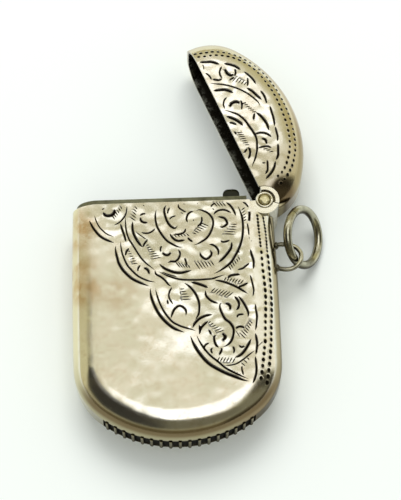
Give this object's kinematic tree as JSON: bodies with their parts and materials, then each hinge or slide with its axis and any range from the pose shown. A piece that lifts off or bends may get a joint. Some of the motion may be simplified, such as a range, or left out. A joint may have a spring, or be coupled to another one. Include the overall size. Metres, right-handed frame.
{
  "type": "vesta case",
  "caption": "Flat silver pocket match case with a side-hinged snap lid, engraved scrollwork on the front, a ribbed striker on the bottom end and a ring for a chain.",
  "frame": {"origin": "centre of the body's flat back face, midway between the mouth and the striker end and between the sides", "axes": "+X across the case towards the chain loop and the hinge, +Y from the striker end to the mouth, +Z out of the engraved front face"},
  "size_m": [0.0409, 0.069, 0.0102],
  "materials": {
    "silver": "worn polished silver with a warm tarnish",
    "dull_silver": "dull tarnished silver",
    "dark_silver": "dark oxidised silver",
    "hinge_silver": "worn bright silver"
  },
  "bodies": {
    "case": {"body_front_shell": "silver", "body_back_shell": "silver", "mouth_bezel": "dull_silver", "snap_spring": "dark_silver", "striker_strip": "dark_silver", "body_bearer": "hinge_silver", "body_knuckle_front": "hinge_silver", "body_knuckle_back": "hinge_silver", "hinge_pin": "hinge_silver", "chain_loop": "dull_silver"},
    "lid": {"lid_front_shell": "silver", "lid_back_shell": "silver", "lid_bearer": "hinge_silver", "lid_knuckle": "hinge_silver"},
    "ring": {"jump_ring": "dull_silver"}
  },
  "joints": [
    {"name": "lid_hinge", "type": "hinge", "parent": "case", "child": "lid", "pos_m": [0.01485, 0.0195, 0.0051], "axis": [0, 0, 1], "range_deg": [0, 68]},
    {"name": "ring_swing", "type": "hinge", "parent": "case", "child": "ring", "pos_m": [0.01912, 0.0111, 0.0059], "axis": [1, 0, 0], "range_deg": [0, 55]}
  ]
}
